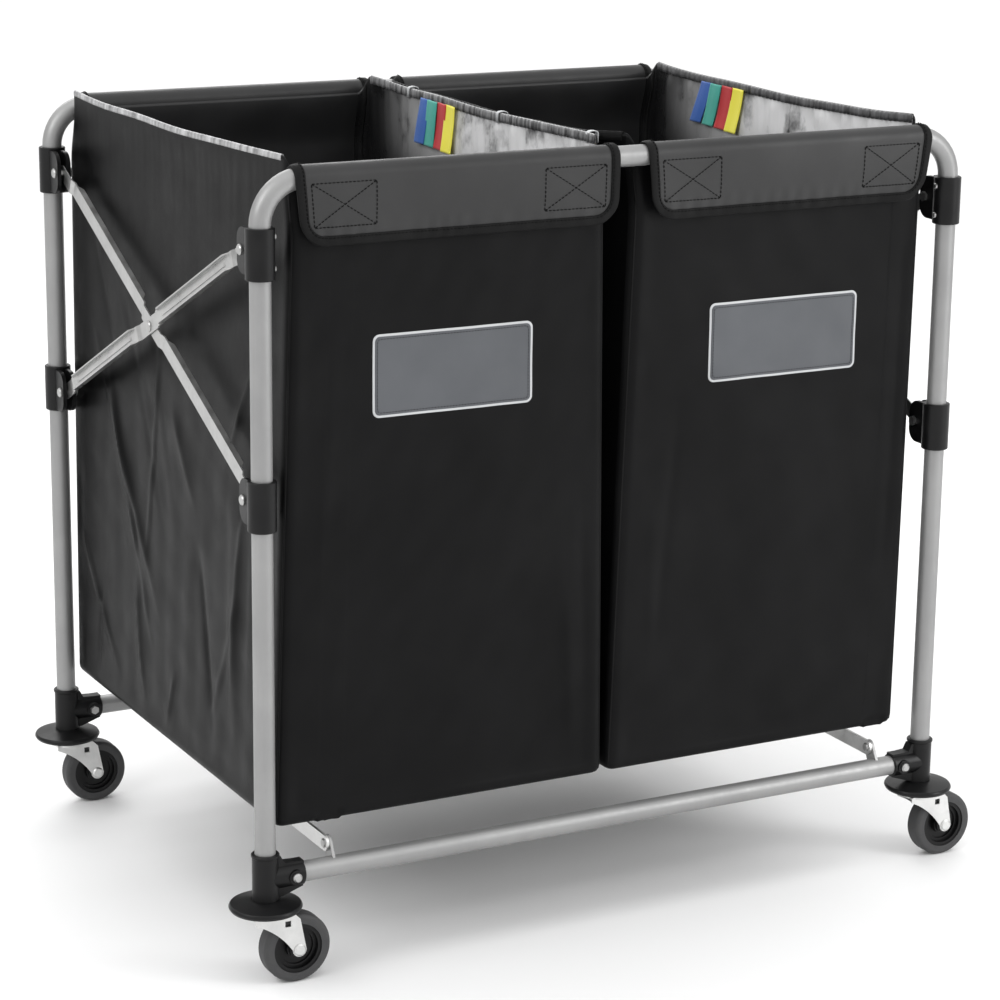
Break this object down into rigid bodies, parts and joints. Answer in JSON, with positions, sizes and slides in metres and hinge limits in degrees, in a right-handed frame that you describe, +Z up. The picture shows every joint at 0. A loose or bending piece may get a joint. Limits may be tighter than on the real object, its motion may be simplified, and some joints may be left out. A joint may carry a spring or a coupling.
{
  "type": "laundry sorter on wheels",
  "caption": "Folding steel-tube laundry cart on swivel casters, with two hanging cloth bags side by side, crossed side braces and floor struts.",
  "frame": {"origin": "on the floor, under the middle of the four legs", "axes": "+X along the long side of the cart, front at -Y, +Z up"},
  "size_m": [0.9279, 0.6728, 0.858],
  "materials": {
    "painted_tube": "satin silver-grey paint",
    "zinc_steel": "bright zinc plate",
    "black_plastic": "moulded, low sheen",
    "grey_tread": "matt",
    "black_cloth": "coated woven cloth, light sheen",
    "ribbon": "woven tape in four colours",
    "patch": "printed plain patch"
  },
  "bodies": {
    "front_frame": {"front_hoop": "painted_tube", "front_bottom_rail": "painted_tube", "front_frame_bolts": "zinc_steel", "front_frame_rivets": "zinc_steel", "front_caster_stems": "zinc_steel", "corner_socket_fl": "black_plastic", "corner_socket_fr": "black_plastic", "bumper_fl": "black_plastic", "bumper_fr": "black_plastic", "clamp_fl": "black_plastic", "clamp_fr": "black_plastic", "left_bag_front": "black_cloth", "right_bag_front": "black_cloth", "left_bag_sides": "black_cloth", "right_bag_sides": "black_cloth", "colour_ribbons": "ribbon", "divider_clips": "zinc_steel", "front_patches": "patch"},
    "outer_braces": {"left_outer_brace": "zinc_steel", "right_outer_brace": "zinc_steel", "crossing_rivets": "zinc_steel"},
    "inner_braces": {"left_inner_brace": "zinc_steel", "right_inner_brace": "zinc_steel"},
    "rear_frame": {"rear_hoop": "painted_tube", "rear_bottom_rail": "painted_tube", "rear_frame_bolts": "zinc_steel", "rear_frame_rivets": "zinc_steel", "rear_caster_stems": "zinc_steel", "corner_socket_rl": "black_plastic", "corner_socket_rr": "black_plastic", "bumper_rl": "black_plastic", "bumper_rr": "black_plastic", "clamp_rl": "black_plastic", "clamp_rr": "black_plastic", "left_bag_rear": "black_cloth", "right_bag_rear": "black_cloth"},
    "front_sliders": {"slider_fl": "black_plastic", "slider_fr": "black_plastic", "front_slider_bolts": "zinc_steel"},
    "rear_sliders": {"slider_rl": "black_plastic", "slider_rr": "black_plastic", "rear_slider_bolts": "zinc_steel"},
    "front_struts": {"front_strut_links": "zinc_steel"},
    "rear_struts": {"rear_strut_links": "zinc_steel", "strut_middle_rivets": "zinc_steel"},
    "front_bag_floor": {"front_bag_bases": "black_cloth"},
    "rear_bag_floor": {"rear_bag_bases": "black_cloth"},
    "fork_fl": {"caster_fork_fl": "zinc_steel"},
    "wheel_fl": {"caster_hub_fl": "black_plastic", "caster_tyre_fl": "grey_tread"},
    "fork_fr": {"caster_fork_fr": "zinc_steel"},
    "wheel_fr": {"caster_hub_fr": "black_plastic", "caster_tyre_fr": "grey_tread"},
    "fork_rl": {"caster_fork_rl": "zinc_steel"},
    "wheel_rl": {"caster_hub_rl": "black_plastic", "caster_tyre_rl": "grey_tread"},
    "fork_rr": {"caster_fork_rr": "zinc_steel"},
    "wheel_rr": {"caster_hub_rr": "black_plastic", "caster_tyre_rr": "grey_tread"}
  },
  "joints": [
    {"name": "frame_fold", "type": "hinge", "parent": "front_frame", "child": "outer_braces", "pos_m": [0, -0.268, 0.77], "axis": [-1, 0, 0], "range_deg": [0, 55.84], "deforming": ["left_bag_sides", "right_bag_sides", "colour_ribbons", "divider_clips"]},
    {"name": "brace_cross", "type": "hinge", "parent": "outer_braces", "child": "inner_braces", "pos_m": [0, 0, 0.6425], "axis": [-1, 0, 0], "range_deg": [-111.68, 0.01]},
    {"name": "rear_clamp_pivot", "type": "hinge", "parent": "inner_braces", "child": "rear_frame", "pos_m": [0, 0.268, 0.77], "axis": [-1, 0, 0], "range_deg": [-0.01, 55.85]},
    {"name": "front_slider_pivot", "type": "hinge", "parent": "inner_braces", "child": "front_sliders", "pos_m": [0, -0.268, 0.515], "axis": [-1, 0, 0], "range_deg": [-0.01, 55.85]},
    {"name": "rear_slider_pivot", "type": "hinge", "parent": "outer_braces", "child": "rear_sliders", "pos_m": [0, 0.268, 0.515], "axis": [-1, 0, 0], "range_deg": [-55.85, 0.01]},
    {"name": "front_strut_fold", "type": "hinge", "parent": "front_frame", "child": "front_struts", "pos_m": [0, -0.286, 0.14], "axis": [1, 0, 0], "range_deg": [-0.01, 77.28]},
    {"name": "rear_strut_fold", "type": "hinge", "parent": "rear_frame", "child": "rear_struts", "pos_m": [0, 0.286, 0.14], "axis": [-1, 0, 0], "range_deg": [-0.01, 77.28]},
    {"name": "front_floor_fold", "type": "hinge", "parent": "front_frame", "child": "front_bag_floor", "pos_m": [0, -0.292, 0.1695], "axis": [1, 0, 0], "range_deg": [-0.01, 76.34]},
    {"name": "rear_floor_fold", "type": "hinge", "parent": "rear_frame", "child": "rear_bag_floor", "pos_m": [0, 0.292, 0.1695], "axis": [-1, 0, 0], "range_deg": [-0.01, 76.34]},
    {"name": "swivel_fl", "type": "hinge", "parent": "front_frame", "child": "fork_fl", "pos_m": [-0.41, -0.298, 0.077], "axis": [0, 0, 1], "continuous": true},
    {"name": "roll_fl", "type": "hinge", "parent": "fork_fl", "child": "wheel_fl", "pos_m": [-0.378, -0.298, 0.0375], "axis": [0, 1, 0], "continuous": true},
    {"name": "swivel_fr", "type": "hinge", "parent": "front_frame", "child": "fork_fr", "pos_m": [0.41, -0.298, 0.077], "axis": [0, 0, 1], "continuous": true},
    {"name": "roll_fr", "type": "hinge", "parent": "fork_fr", "child": "wheel_fr", "pos_m": [0.442, -0.298, 0.0375], "axis": [0, 1, 0], "continuous": true},
    {"name": "swivel_rl", "type": "hinge", "parent": "rear_frame", "child": "fork_rl", "pos_m": [-0.41, 0.298, 0.077], "axis": [0, 0, 1], "continuous": true},
    {"name": "roll_rl", "type": "hinge", "parent": "fork_rl", "child": "wheel_rl", "pos_m": [-0.378, 0.298, 0.0375], "axis": [0, 1, 0], "continuous": true},
    {"name": "swivel_rr", "type": "hinge", "parent": "rear_frame", "child": "fork_rr", "pos_m": [0.41, 0.298, 0.077], "axis": [0, 0, 1], "continuous": true},
    {"name": "roll_rr", "type": "hinge", "parent": "fork_rr", "child": "wheel_rr", "pos_m": [0.442, 0.298, 0.0375], "axis": [0, 1, 0], "continuous": true}
  ],
  "couplings": [
    {"joint": "brace_cross", "follows": "frame_fold", "ratio": -2},
    {"joint": "rear_clamp_pivot", "follows": "frame_fold", "ratio": 1},
    {"joint": "front_slider_pivot", "follows": "frame_fold", "ratio": 1},
    {"joint": "rear_slider_pivot", "follows": "frame_fold", "ratio": -1},
    {"joint": "front_strut_fold", "follows": "frame_fold", "ratio": 1.3839},
    {"joint": "rear_strut_fold", "follows": "frame_fold", "ratio": 1.3839},
    {"joint": "front_floor_fold", "follows": "frame_fold", "ratio": 1.3671},
    {"joint": "rear_floor_fold", "follows": "frame_fold", "ratio": 1.3671}
  ]
}
